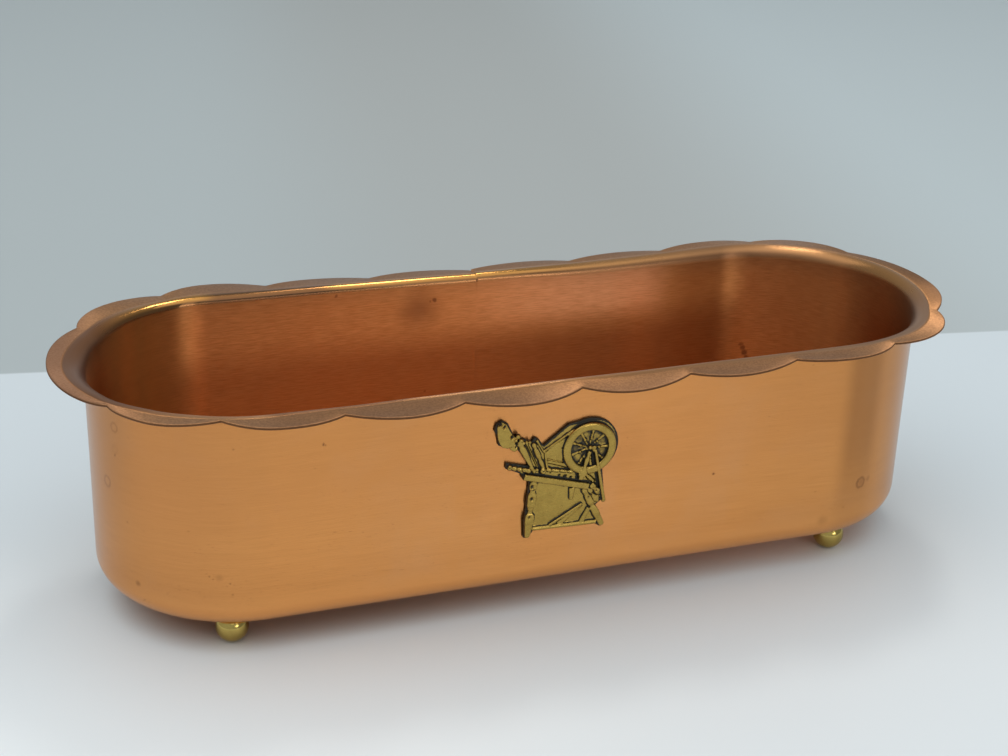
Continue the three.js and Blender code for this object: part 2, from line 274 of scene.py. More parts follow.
def sheet_rows():
    """Rows of the section: (outside the wall, height, fraction of the flange or None, zone)."""
    tilt = QUARTER - DROOP
    rows = [(u, v, None, "outer") for u, v in arc(-BEND, BEND, BEND, -QUARTER, 0, 14)]
    rows += [(0, BEND + (LIP_Z - BEND) * i / 14, None, "outer") for i in range(1, 14)]
    rows += [(u, v, None, "under") for u, v in
             arc(LIP_RADIUS, LIP_Z, LIP_RADIUS, 2 * QUARTER, tilt, 8)]
    u, v = rows[-1][:2]
    rows += [(u, v, i / 5, "under") for i in range(1, 6)]
    rows += [(u, v, 2, "under"), (u, v, 2, "edge low")]
    over = [(u, v, None, "lip") for u, v in
            arc(LIP_RADIUS, LIP_Z, LIP_RADIUS + SHEET, tilt, 2 * QUARTER, 16)]
    u, v = over[0][:2]
    rows += [(u, v, 2, "edge high"), (u, v, 2, "flange")]
    rows += [(u, v, 1 - i / 5, "flange") for i in range(5)]
    rows += over
    rows += [(-SHEET, LIP_Z - (LIP_Z - BEND) * i / 14, None, "inner") for i in range(1, 14)]
    rows += [(u, v, None, "inner") for u, v in arc(-BEND, BEND, BEND - SHEET, 0, -QUARTER, 12)]
    return rows


def section_point(row, place):
    """Where a row of the section is at one station. The lip's top is as high at any radius."""
    u, v, fraction, zone = row
    if zone in ("outer", "inner"):
        scale = (place.middle - BEND) / (LIP_Z - BEND)
        return u, v if v <= BEND else BEND + (v - BEND) * scale
    thick = 0.0 if zone in ("under", "edge low") else SHEET
    scale = (place.radius + thick) / (LIP_RADIUS + thick)
    u, v = place.radius + (u - LIP_RADIUS) * scale, place.middle + (v - LIP_Z) * scale
    if fraction is None:
        return u, v
    # fraction 2 is the last row before the flange's rounded edge
    edge = place.reach - (EDGE_ROUND if fraction == 2 else 0.5)
    out = u + (edge - u) * min(fraction, 1)
    v -= (out - u) * math.tan(DROOP)
    if zone == "edge low":
        return out + EDGE_ROUND, v + EDGE_ROUND
    if zone == "edge high":
        return out + EDGE_ROUND, v - EDGE_ROUND
    return out, v


def strayed(px, py, v, zone, place):
    """The point in plan, with the wall's slight waviness and the mark of its seam."""
    bulge = max(0.0, math.sin(math.pi * unit((v - BEND) / (LIP_Z - BEND))))
    wave = WAVINESS * bulge * noise.noise(Vector((px * 0.013, py * 0.013 + 7, v * 0.02)))
    if zone in ("outer", "inner"):
        wave -= SEAM_MARK * bulge * max(0.0, 1 - place.seam / 0.6)
    return px + wave * place.nx, py + wave * place.ny


def rim_rise(px, py, u, place):
    """How much higher the lip and flange are than in the even section."""
    rise = RIM_RISE * (2 * px / BODY_LENGTH) ** 2 + place.raised
    rise += place.edge_raised * min(1.2, max(0.0, (u - place.radius) / 8))
    rise += 0.1 * noise.noise(Vector((px * 0.05, py * 0.05, 3)))
    side = 1 if place.along < RIM_RUN / 2 else -1
    return rise - side * SEAM_STEP * math.exp(-place.seam / 9)


def sheet_marks(row, u, v, place):
    """Two colours that tell the material where on the sheet a corner is.

    The first is (on the flange, inside, on the lip), the second (cut edge, shade, far out).
    """
    fraction, zone = row[2:]
    broad = unit((place.radius - 1.9) / 1.6)
    lip = edge = shade = far = 0.0
    if zone == "lip":
        turned = (v - place.middle) / (place.radius + SHEET)
        far = max(broad, unit(-1.5 * place.ny))
        lip = unit(turned / 0.4)
        under = unit((0.8 - turned) / 0.3) * min(1.0, 0.3 + turned / 0.35)
        shade = max(broad * unit((0.9 - turned) / 0.45), 1.5 * max(0.0, place.ny) * under)
    elif zone == "inner":
        shade = broad * max(0.0, 1 - (place.middle - v) / 5)
    elif zone != "outer":
        far = unit((u - place.radius) / 7)
    if zone.startswith("edge"):
        edge = 1.0
    elif zone == "flange" and fraction == 2:
        edge = 0.1
    top = 1.0 if zone == "flange" or zone.startswith("edge") else 0.0
    inside = 1 - lip if zone in ("inner", "lip") else 0.0
    return (top, inside, lip, 1), (edge, shade, far, 1)


def lay_out_sheet(mesh, stations, heights):
    """The map "sheet": along the rim and up the section, in metres. The floor is as in plan."""
    count = len(stations)
    layer = mesh.uv_layers.new(name="sheet")
    for polygon in mesh.polygons:
        ring = [mesh.loops[i].vertex_index for i in polygon.loop_indices]
        flat = len(ring) > 4
        wraps = not flat and {v % count for v in ring} >= {0, count - 1}
        for loop, vertex in zip(polygon.loop_indices, ring):
            if flat:
                layer.data[loop].uv = mesh.vertices[vertex].co.xy
                continue
            along = stations[vertex % count].along
            if wraps and vertex % count == 0:
                along += RIM_RUN
            layer.data[loop].uv = (along * MM, heights[vertex // count] * MM)
        polygon.use_smooth = not flat


def cut_holes(obj):
    """Holes for the screws and studs. Their new corners are marked like the metal beside them."""
    holes = [moved(pin(HOLE, 6), Matrix.Translation((x, y, FLOOR_Z - 3)))
             for x, y in CORNERS.values()]
    holes += [moved(pin(STUD_HOLE, 6), through_wall(stud, -WALL - 3)) for stud in STUDS.values()]
    cut(obj, mesh_object("holes", *joined(holes)))
    zones, rim = [obj.data.color_attributes[name].data for name in ("zones", "rim")]
    for vertex in obj.data.vertices:
        x, y, z = vertex.co / MM
        apart = min(math.hypot(x - HUB.x - a, z - HUB.z - b) for a, b in STUDS.values())
        by_stud = y < 0 and apart < STUD_HOLE + 0.1
        on_floor = abs(z - FLOOR_Z - SHEET) < 0.001
        if on_floor or by_stud or abs(z - FLOOR_Z) < 0.001:
            inside = 1.0 if on_floor or by_stud and y > -WALL + SHEET / 2 else 0.0
            zones[vertex.index].color = (0, inside, 0, 1)
            rim[vertex.index].color = (0, 0, 0, 1)


def through_wall(stud, y):
    """The place of a stud, with Z turned into the dish."""
    place = Matrix.Translation((HUB.x + stud[0], y, HUB.z + stud[1]))
    return place @ Matrix.Rotation(-QUARTER, 4, "X")


def dish_shell():
    stations, rows = rim_stations(), sheet_rows()
    count = len(stations)
    verts, marks = [], []
    for row in rows:
        zone = row[3]
        for place in stations:
            u, v = section_point(row, place)
            px, py = place.x + (WALL + u) * place.nx, (WALL + u) * place.ny
            px, py = strayed(px, py, v, zone, place)
            marks.append(sheet_marks(row, u, v, place))
            if zone not in ("outer", "inner"):
                v += rim_rise(px, py, u, place)
            verts.append((px, py, FLOOR_Z + v))
    faces = []
    for i in range(0, len(verts) - count, count):
        for j in range(count):
            k = (j + 1) % count
            faces.append((i + j, i + k, i + count + k, i + count + j))
    faces.append(tuple(range(count)))
    faces.append(tuple(range(len(verts) - count, len(verts))))
    obj = mesh_object("copper_dish", verts, faces)

    heights = [0.0]
    section = [Vector(v) for v in verts[10::count]]
    for a, b in zip(section, section[1:]):
        heights.append(heights[-1] + (a - b).length)
    lay_out_sheet(obj.data, stations, heights)
    for name, colours in zip(("zones", "rim"), zip(*marks)):
        paint = obj.data.color_attributes.new(name, "FLOAT_COLOR", "POINT")
        for point, colour in zip(paint.data, colours):
            point.color = colour
    cut_holes(obj)
    return obj


# ---- feet, screws and nuts

def ball_foot(name, place):
    low, high = -math.acos(REST / BALL), math.acos(SEAT / BALL)
    middle = math.sqrt(BALL ** 2 - REST ** 2)
    profile = [(0, 0), (REST * 0.7, 0)] + arc(0, middle, BALL, low, high, 44)
    profile += [(SEAT - 0.1, FLOOR_Z), (HOLE, FLOOR_Z), (HOLE, 3), (0, 3)]
    return turned_piece(f"ball_{name}", profile, 72, Matrix.Translation((*place, 0)), 50)


def foot_screw(name, place):
    seat = FLOOR_Z + SHEET
    top = seat + SCREW_HEIGHT
    dome = (SCREW_HEAD ** 2 + SCREW_HEIGHT ** 2) / (2 * SCREW_HEIGHT)
    spread = math.asin(SCREW_HEAD / dome)
    head = arc(0, top - dome, dome, QUARTER - spread, QUARTER, 14)[1:-1]
    profile = [(0, SCREW_FOOT), (SHANK - 0.2, SCREW_FOOT), (SHANK, SCREW_FOOT + 0.3), (SHANK, seat),
               (SCREW_HEAD - 0.15, seat), (SCREW_HEAD, seat + 0.12)] + head + [(0, top)]
    obj = mesh_object(f"screw_{name}", *moved(lathe(profile, 48), Matrix.Translation((*place, 0))))
    # the slot's half length and half width, and its depth
    a, b, depth = 4.5, 0.4, 0.9
    bar = plate([(-a, -b), (a, -b), (a, b), (-a, b)], 2 * depth)
    turn = Matrix.Translation((*place, top - depth)) @ Matrix.Rotation(SLOT_TURNS[name], 4, "Z")
    cut(obj, mesh_object("slot", *moved(bar, turn)))
    mark_sharp(obj, 35)
    return obj


def push_nut(name, stud):
    profile = [(1.5, 0.5), (2.5, 0.05), (2.6, 0), (3.9, 0), (4.0, 0.1), (4.0, 0.5), (3.9, 0.6),
               (2.6, 0.6), (1.55, 1.1), (1.5, 1.05), (1.5, 0.5)]
    return turned_piece(f"nut_{name}", profile, 48, through_wall(stud, -WALL + SHEET + 0.2), 35)


def turned_piece(name, profile, segments, place, degrees):
    obj = mesh_object(name, *moved(lathe(profile, segments), place))
    mark_sharp(obj, degrees)
    return obj


def mark_sharp(obj, degrees):
    """Smooth shading, but for edges that turn by more than this."""
    bm = bmesh.new()
    bm.from_mesh(obj.data)
    for edge in bm.edges:
        edge.smooth = edge.calc_face_angle(0) < math.radians(degrees)
    for face in bm.faces:
        face.smooth = True
    bm.to_mesh(obj.data)
    bm.free()


# ---- the relief. x to the right and y up from the hub, z out of the wall

def rod(start, end, knobs, height):
    """A turned bar: knobs are (fraction along, radius), joined by a smooth curve."""
    run = Vector((end[0] - start[0], end[1] - start[1], 0))
    profile = [(0, knobs[0][0] * run.length)]
    for (a, r0), (b, r1) in zip(knobs, knobs[1:]):
        for t in (0, 0.25, 0.5, 0.75):
            profile.append((r0 + (r1 - r0) * eased(t), (a + (b - a) * t) * run.length))
    profile += [(knobs[-1][1], knobs[-1][0] * run.length), (0, knobs[-1][0] * run.length)]
    turn = Vector((0, 0, 1)).rotation_difference(run).to_matrix().to_4x4()
    return moved(lathe(profile, 20), Matrix.Translation((*start, height)) @ turn)


def bead(at, radius, height):
    profile = [(0, -radius)] + arc(0, 0, radius, -QUARTER, QUARTER, 16)[1:-1] + [(0, radius)]
    return moved(lathe(profile, 24), Matrix.Translation((*at, height)))


def plate(outline, high):
    """A flat plate. The outline is given anticlockwise or clockwise, and may be hollow-sided."""
    count = len(outline)
    verts = [(x, y, 0) for x, y in outline] + [(x, y, high) for x, y in outline]
    faces = [tuple(range(count)), tuple(range(count, 2 * count))]
    faces += [(i, (i + 1) % count, (i + 1) % count + count, i + count) for i in range(count)]
    return verts, faces


def flat_bar(start, end, widths, height, dip=0.0, bevel=0.24):
    """A flat-topped bar: widths are (fraction along, half width); narrow places dip a little."""
    run = Vector((end[0] - start[0], end[1] - start[1]))
    side = Vector((-run.y, run.x)).normalized()
    widest = max(w for _, w in widths)
    stations = []
    for (a, w0), (b, w1) in zip(widths, widths[1:]):
        steps = 4 if w0 != w1 else 1
        for i in range(steps):
            t = i / steps
            stations.append((a + (b - a) * t, w0 + (w1 - w0) * eased(t)))
    stations.append(widths[-1])
    verts, faces = [], []
    for along, w in stations:
        top = height - dip * (1 - w / widest)
        flat = w - min(bevel, 0.6 * w)
        middle = Vector(start) + run * along
        for out, z in ((-w, 0), (-w, top - bevel), (-flat, top), (flat, top), (w, top - bevel),
                       (w, 0)):
            verts.append((middle.x + side.x * out, middle.y + side.y * out, z))
    for i in range(len(stations) - 1):
        for j in range(6):
            k = (j + 1) % 6
            faces.append((6 * i + j, 6 * i + k, 6 * i + 6 + k, 6 * i + 6 + j))
    faces += [tuple(range(6)), tuple(range(len(verts) - 6, len(verts)))]
    return verts, faces


# Turned and flat parts of the spinning wheel: (fraction along, radius or half width)
LEFT_LEG = [(0, 1.0), (0.05, 1.3), (0.11, 1.3), (0.17, 0.85), (0.23, 1.4), (0.31, 1.5),
            (0.42, 1.45), (0.48, 1.0), (0.54, 0.75), (0.6, 1.5), (0.7, 1.6), (0.8, 1.3),
            (0.9, 1.1), (0.97, 0.9), (1, 0.5)]
RIGHT_LEG = [(0, 0.7), (0.07, 0.95), (0.15, 0.8), (0.24, 1.1), (0.38, 1.15), (0.46, 0.75),
             (0.54, 1.15), (0.66, 1.25), (0.78, 1.05), (0.9, 0.95), (0.97, 0.9), (1, 0.5)]
DISTAFF = [(0, 0.7), (0.06, 1.0), (0.16, 0.75), (0.24, 1.05), (0.4, 1.0), (0.55, 0.85),
           (0.62, 0.7), (0.85, 0.55), (1, 0.45)]
MAIDEN = [(0, 0.45), (0.08, 0.75), (0.2, 0.5), (0.28, 0.75), (0.5, 0.8), (0.62, 0.55),
          (0.75, 0.7), (1, 0.5)]
GRIP = [(0, 0.4), (0.05, 0.95), (0.14, 1.05), (0.22, 0.5), (0.3, 0.85), (0.38, 0.9),
        (0.46, 0.45), (0.53, 0.8), (0.62, 0.85), (0.7, 0.5), (0.78, 0.85), (1, 0.8)]
SPINDLE = [(0, 0.5), (0.06, 0.75), (0.14, 0.8), (0.2, 0.45), (0.27, 0.65), (0.45, 0.7),
           (0.52, 0.4), (0.6, 0.6), (0.76, 0.6), (0.82, 0.4), (0.9, 0.6), (1, 0.6)]
WHEEL_POST = [(0, 0.6), (0.08, 0.65), (0.17, 0.45), (0.28, 0.75), (0.4, 0.65), (0.5, 0.5),
              (0.6, 0.7), (0.74, 1.45), (0.84, 1.3), (0.92, 0.8), (1, 0.75)]
SHORT_POST = [(0, 0.9), (0.2, 1.05), (0.36, 0.7), (0.55, 1), (0.75, 0.75), (1, 0.9)]
SPOKE = [(0, 0.3), (0.42, 0.28), (0.47, 0.5), (0.54, 0.55), (0.6, 0.28), (0.72, 0.42), (1, 0.5)]

# Outlines of the flat ground behind the figure: at the legs, the middle, the wool and the grip
GROUNDS = [
    [(-19.6, -7.6), (-0.4, -12.6), (0.4, -9), (5, -7), (6.4, -18.6), (3.4, -21), (6.2, -27.4),
     (5.4, -29.2), (2.6, -27.2), (-17.6, -27.2), (-19.4, -29.6), (-21, -29.4), (-20.6, -20)],
    [(-26.2, 4.2), (-24.2, 7), (-19.4, 4.4), (-18.4, 5.9), (-16.9, 5), (-15.4, 2.6), (-7, 9),
     (-3, 9.6), (0.4, -9), (0.2, -13), (-19.4, -7.4), (-20.6, -1)],
    [(-31.2, 12), (-29.3, 13), (-27.3, 11.6), (-25, 6.6), (-24.6, 3.8), (-27.4, 3), (-30.4, 4.6),
     (-30.6, 7.6), (-31.8, 9.6)],
    [(-27.6, -1.8), (-19, -4.2), (-18, -6), (-21, -8.6), (-22.8, -6.2), (-27.8, -3.8)],
]
WOOL = [(-30.6, 12.2), (-29.6, 12.6), (-28.2, 11.8), (-27.2, 10), (-26.2, 8.2), (-25.3, 7.2),
        (-24.9, 5.2), (-25.6, 3.9), (-27.4, 3.4), (-29.1, 3.9), (-30.1, 5.3), (-30.7, 7),
        (-31, 9), (-31.1, 11)]
WHEEL_RIM = [(6.35, 0), (9.0, 0), (9.0, 1.9), (8.75, 2.2), (8.3, 2.4), (7.0, 2.35), (6.6, 2.25),
             (6.35, 2.0), (6.35, 0)]

# Round lumps: place, radius, height
BEADS = [
    ((0.1, 0.4), 0.75, 1.9), ((1.5, 0.35), 0.7, 2.0), ((1.3, -0.5), 0.6, 2.1),
    ((-20.3, -5.1), 0.95, 1.5), ((-15.4, -5.9), 1.15, 1.3), ((-17.5, -5.2), 0.6, 1.6),
    ((5.5, -18.9), 0.75, 2.0), ((-24.1, 7.1), 0.85, 1.3), ((-23.1, 5.6), 0.8, 1.4),
    ((-24.9, 5.9), 0.6, 1.5), ((-22.2, 4.6), 0.6, 1.4), ((-20.2, 4.6), 0.6, 1.3),
    ((-29.4, 11.3), 1.1, 0.7),
]

# Dents: place, radius, depth
DENTS = [
    ((-18.9, -15.3), 0.95, 0.6), ((-18.9, -11.0), 1.0, 0.6), ((-18.3, -12.4), 0.5, 0.4),
    ((-19.4, -21.7), 0.8, 0.5), ((-19.9, -19.6), 0.5, 0.4), ((-26.0, 7.1), 1.0, 0.7),
    ((-30.1, 11.9), 1.1, 0.7), ((-28.6, 10.9), 0.9, 0.6), ((-24.4, 4.7), 0.6, 0.5),
    ((-23.4, 6.6), 0.5, 0.5), ((-24.6, 3.4), 0.45, 0.4), ((-15.4, -5.9), 0.5, 0.6),
    ((-26.7, -3.3), 0.4, 0.4), ((-17.7, 3.1), 0.4, 0.5), ((0.6, -17.4), 0.6, 0.4),
    ((3.1, -15.4), 0.5, 0.4), ((1.9, -14.3), 0.4, 0.35), ((4.2, -17.0), 0.4, 0.35),
    ((-7.6, -9.3), 0.9, 0.5), ((-9.6, -8.6), 0.6, 0.4), ((-5.6, -9.9), 0.6, 0.4),
    ((-12.6, -7.4), 0.4, 0.35),
]


def wheel():
    disc = lathe([(0, 0), (9.7, 0), (9.8, 0.1), (9.8, 0.8), (9.6, GROUND), (0, GROUND)], 96)
    hub = lathe([(0, 0), (1.1, 0), (1.1, 1.5), (0.8, 1.7), (0, 1.7)], 32)
    shapes = [moved(disc, Matrix.Translation((0.35, 0.4, 0))), lathe(WHEEL_RIM, 128), hub]
    for i in range(SPOKES):
        angle = 4 * QUARTER * (i + 0.95) / SPOKES
        tip = (6.5 * math.cos(angle), 6.5 * math.sin(angle))
        shapes.append(flat_bar((0, 0), tip, SPOKE, 1.45, 0.2, 0.18))
        shapes.append(bead((tip[0] * 0.5, tip[1] * 0.5), 0.5, 1.3))
        if i % 2:
            shapes.append(bead((tip[0] * 0.8, tip[1] * 0.8), 0.45, 1.25))
    return shapes


def relief_shapes():
    shapes = [plate(outline, GROUND) for outline in GROUNDS] + wheel()
    shapes += [bead(*lump) for lump in BEADS]
    return shapes + [
        plate([(-14.7, 0.1), (-13.2, 1.5), (-6.4, 5.5), (-9.3, 1), (-8.8, -3.8), (-14.2, -1.9)],
              1.3),
        plate(WOOL, 1.5),
        plate([(-26.8, 3.6), (-24.8, 3.9), (-23.8, 2.6), (-24.9, 1.7), (-26.2, 2.5)], 1.15),
        plate([(1.6, -16.2), (4.9, -18.2), (4.2, -20), (2.4, -19.4)], 1.3),
        # the table and its legs
        flat_bar((-21.8, -7.1), (0.2, -13.4), [(0, 1.05), (1, 1.1)], 2.3),
        flat_bar((-18.3, -9.4), (-19.9, -29.3), LEFT_LEG, 2.0, 0.7),
        flat_bar((-1.3, -14.2), (5.9, -28.4), RIGHT_LEG, 2.0, 0.7),
        flat_bar((0.9, -21.4), (-1.7, -26.6), [(0, 0.75), (1, 0.9)], 1.7),
        # distaff, maidens, spindle and tension grip
        flat_bar((-23.9, 5.4), (-18.2, -6.3), DISTAFF, 2.0, 0.4),
        flat_bar((-21.5, 5), (-17, -5), [(0, 0.5), (0.2, 0.25), (1, 0.25)], 1.35, 0, 0.15),
        flat_bar((-19.1, 4.2), (-15.2, -5.2), MAIDEN, 1.95, 0.4),
        flat_bar((-17.9, 5), (-15.2, 0.4), [(0, 0.45), (0.3, 0.28), (1, 0.28)], 1.6, 0, 0.15),
        flat_bar((-15, 0.6), (-14, -5), [(0, 0.3), (1, 0.4)], 1.5, 0, 0.15),
        rod((-27.4, -3.1), (-20, -5.3), GRIP, 1.15),
        rod((-14.2, -5.7), (-5.4, -7.6), SPINDLE, 1.35),
        flat_bar((-14.3, -2.9), (-7, -5.4), [(0, 0.5), (1, 0.6)], 1.25, 0, 0.15),
        # posts of the wheel
        flat_bar((-0.1, -0.8), (-2.8, -10.4), WHEEL_POST, 2.75, 0.2),
        flat_bar((1.7, -0.4), (5.6, -18.9), [(0, 0.45), (0.5, 0.5), (1, 0.55)], 2.8),
        flat_bar((1.2, -12.9), (5.4, -17.9), SHORT_POST, 2.0, 0.6),
        # treadle and its bars, drive band
        flat_bar((-1.6, -19.6), (-12.6, -25.7), [(0, 0.45), (1, 0.4)], 1.9),
        flat_bar((-1.4, -20.3), (-9.4, -25.9), [(0, 0.3), (1, 0.9)], 1.45, 0, 0.2),
        flat_bar((-18.2, -26.3), (3.6, -26.9), [(0, 0.7), (1, 0.75)], 1.8, 0, 0.4),
        flat_bar((-5.2, -13.4), (-5.4, -17.6), [(0, 1), (0.85, 0.7), (1, 0.5)], 1.7),
        flat_bar((-15.2, 0.9), (-5.2, 7.2), [(0, 0.35), (1, 0.4)], 1.6, 0, 0.2),
        flat_bar((-0.8, -9.2), (2.4, -12.4), [(0, 0.5), (0.5, 0.7), (1, 0.5)], 1.4, 0.3),
    ]


def relief():
    place = Matrix.Translation((*RELIEF_SHIFT, 0))
    place = place @ Matrix.Diagonal((RELIEF_SCALE, RELIEF_SCALE, 1, 1))
    shapes = [moved(shape, place) for shape in relief_shapes()]
    for x, y in STUDS.values():
        shapes.append(moved(pin(STUD, 3.2), Matrix.Translation((x, y, -2.8))))
    obj = mesh_object("relief", *joined(shapes))
    remesh = obj.modifiers.new("cast", "REMESH")
    remesh.mode, remesh.voxel_size, remesh.adaptivity = "VOXEL", 0.15 * MM, 0.0
    smooth = obj.modifiers.new("soft", "SMOOTH")
    smooth.factor, smooth.iterations = 0.5, 2
    apply_modifiers(obj)
    mesh = obj.data
    co = np.empty(len(mesh.vertices) * 3)
    mesh.vertices.foreach_get("co", co)
    co = co.reshape(-1, 3) / MM
    facing = np.empty(len(mesh.vertices) * 3)
    mesh.vertex_normals.foreach_get("vector", facing)
    facing = facing.reshape(-1, 3)[:, 2]
    # the back is flat, but for the studs
    on_stud = [np.hypot(co[:, 0] - x, co[:, 1] - y) < STUD + 0.4 for x, y in STUDS.values()]
    back = (co[:, 2] < 0) & ~on_stud[0] & ~on_stud[1]
    co[back, 2] = 0
    dented = np.zeros(len(co))
    for (x, y), radius, depth in DENTS:
        x, y, _ = place @ Vector((x, y, 0))
        apart = np.clip(1 - np.hypot(co[:, 0] - x, co[:, 1] - y) / radius, 0, 1)
        dented = np.maximum(dented, depth * eased(apart))
    raised = co[:, 2] > DEEPEST
    co[raised, 2] = np.maximum(DEEPEST, co[raised, 2] - dented[raised])
    dark = patina(co, facing, dented * raised)
    mesh.vertices.foreach_set("co", ((co[:, [0, 2, 1]] * (1, -1, 1) + HUB) * MM).ravel())
    paint = mesh.color_attributes.new("patina", "FLOAT_COLOR", "POINT")
    colours = np.column_stack([dark, dark, dark, np.ones_like(dark)])
    paint.data.foreach_set("color", colours.ravel())
    mesh.polygons.foreach_set("use_smooth", [True] * len(mesh.polygons))
    tidy_normals(obj)
    return obj


def neighbours(grid):
    """The grid and its four copies, each shifted by one cell."""
    return [grid] + [np.roll(grid, step, axis) for axis in (0, 1) for step in (1, -1)]


def patina(points, facing, dented):
    """How much black patina is left: on sides, at the foot of steps, in dents and deep ground."""
    cell = 0.14
    low = points[:, :2].min(0) - 2
    index = np.floor((points[:, :2] - low) / cell).astype(int)
    high = np.zeros(index.max(0) + 16)
    np.maximum.at(high, (index[:, 0], index[:, 1]), points[:, 2])

    def around(spread):
        """How much higher the relief stands within so many cells."""
        top = high.copy()
        for dx in range(-spread, spread + 1):
            for dy in range(-spread, spread + 1):
                if dx * dx + dy * dy <= spread * spread:
                    top = np.maximum(top, np.roll(np.roll(high, dx, 0), dy, 1))
        for _ in range(2):
            top = sum(neighbours(top)) / 5
        return top[index[:, 0], index[:, 1]] - points[:, 2]

    def widened(cells, times):
        for _ in range(times):
            cells = np.logical_or.reduce(neighbours(cells))
        return cells

    # black on the flat ledge between the raised figure and the outline, less between the spokes
    near_outline = widened(~widened(high > 0.02, 3), 9)[index[:, 0], index[:, 1]]
    ledge = near_outline & (points[:, 2] < 1.02)
    from_hub = np.hypot(*(points[:, :2] - RELIEF_SHIFT).T)
    spokes = (from_hub < 6.2) & (points[:, 2] < 1.1)
    step = np.clip((around(2) - 0.25) / 0.4, 0, 1)
    tall = np.clip((around(4) - 0.85) / 0.25, 0, 1)
    ground = np.clip((around(9) - 0.7) / 1.2, 0, 1)
    side = np.clip((0.62 - facing) / 0.4, 0, 1)
    total = 0.85 * step + 0.6 * tall + 0.3 * ground + 0.8 * side + 1.6 * dented
    return np.clip(total + 0.9 * ledge + 0.5 * spokes, 0, 1)


# ---- materials

class Tree:
    """Short hand for writing the nodes of a material or a world."""

    def __init__(self, name, kind=bpy.data.materials):
        self.owner = kind.new(name)
        self.owner.use_nodes = True
        self.nodes, self.links = self.owner.node_tree.nodes, self.owner.node_tree.links
        self.nodes.clear()

    def add(self, kind, inputs=(), **settings):
        node = self.nodes.new(kind)
        for key, value in settings.items():
            setattr(node, key, value)
        for key, value in dict(inputs).items():
            self.put(node.inputs[key], value)
        return node

    def put(self, socket, value):
        if isinstance(value, bpy.types.NodeSocket):
            self.links.new(value, socket)
        else:
            socket.default_value = value

    def math(self, operation, a, b=0.0):
        return self.add("ShaderNodeMath", {0: a, 1: b}, operation=operation).outputs[0]

    def plus(self, a, b):
        return self.math("ADD", a, b)

    def times(self, a, *others):
        for b in others:
            a = self.math("MULTIPLY", a, b)
        return a

    def vector_math(self, operation, a, b):
        return self.add("ShaderNodeVectorMath", {0: a, 1: b}, operation=operation).outputs

    def span(self, value, low, high, to_low, to_high):
        """Takes low and high to the second pair, smoothly between them and level beyond."""
        inputs = {"Value": value, "From Min": low, "From Max": high,
                  "To Min": to_low, "To Max": to_high}
        return self.add("ShaderNodeMapRange", inputs, interpolation_type="SMOOTHSTEP").outputs[0]

    def fit(self, value, low, high, amount=1.0):
        """From nothing at low to the amount at high."""
        return self.span(value, low, high, 0.0, amount)

    def fade(self, value, low, high, amount=1.0):
        """The same for a place, in millimetres."""
        return self.fit(value, low * MM, high * MM, amount)

    def mix(self, factor, a, b):
        """Two colours: sockets, or red, green and blue."""
        a, b = [(*colour, 1) if isinstance(colour, tuple) else colour for colour in (a, b)]
        node = self.add("ShaderNodeMix", {0: factor, 6: a, 7: b}, data_type="RGBA")
        return node.outputs[2]

    def layered(self, colour, *layers):
        """A colour with others over it, each a pair: how much of it, colour."""
        for factor, over in layers:
            colour = self.mix(factor, colour, over)
        return colour

    def bump(self, height, strength, distance):
        inputs = {"Strength": strength, "Distance": distance * MM, "Height": height}
        return self.add("ShaderNodeBump", inputs).outputs[0]

    def stretch(self, vector, scale):
        return self.add("ShaderNodeMapping", {"Vector": vector, "Scale": scale}).outputs[0]

    def noise(self, vector, scale, detail=2.0, rough=0.5, distortion=0.0):
        inputs = {"Vector": vector, "Scale": scale, "Detail": detail, "Roughness": rough,
                  "Distortion": distortion}
        return self.add("ShaderNodeTexNoise", inputs).outputs[0]

    def position(self):
        return self.add("ShaderNodeTexCoord").outputs["Object"]

    def attribute(self, name):
        node = self.add("ShaderNodeAttribute", attribute_name=name)
        return self.add("ShaderNodeSeparateColor", {0: node.outputs["Color"]}).outputs

    def stains(self, vector, spots, rings):
        """How strong the stains are at a place. Sizes in millimetres."""
        total = 0.0
        for *at, radius, soft, strength in spots:
            spot = self.fade(self.apart(vector, at), radius, radius - soft, strength)
            total = self.math("MAXIMUM", total, spot)
        for *at, radius, width, strength in rings:
            off = self.math("ABSOLUTE", self.math("SUBTRACT", self.apart(vector, at), radius * MM))
            ring = self.fade(off, width, 0.2 * width, strength)
            total = self.math("MAXIMUM", total, ring)
        return total

    def apart(self, vector, at):
        return self.vector_math("DISTANCE", vector, tuple(a * MM for a in at))["Value"]

    def shaken(self, vector, scale, amount):
        """The same places, each moved a little this way or that (millimetres)."""
        node = self.add("ShaderNodeTexNoise", {"Vector": vector, "Scale": scale, "Detail": 2.0})
        drift = self.vector_math("SUBTRACT", node.outputs["Color"], (0.5, 0.5, 0.5))[0]
        inputs = {0: drift, "Scale": amount * MM}
        drift = self.add("ShaderNodeVectorMath", inputs, operation="SCALE").outputs[0]
        return self.vector_math("ADD", vector, drift)[0]

    def finish(self, base, rough, inputs):
        inputs = {"Base Color": base, "Roughness": rough, **inputs}
        shader = self.add("ShaderNodeBsdfPrincipled", inputs)
        self.add("ShaderNodeOutputMaterial", {0: shader.outputs[0]})
        return self.owner


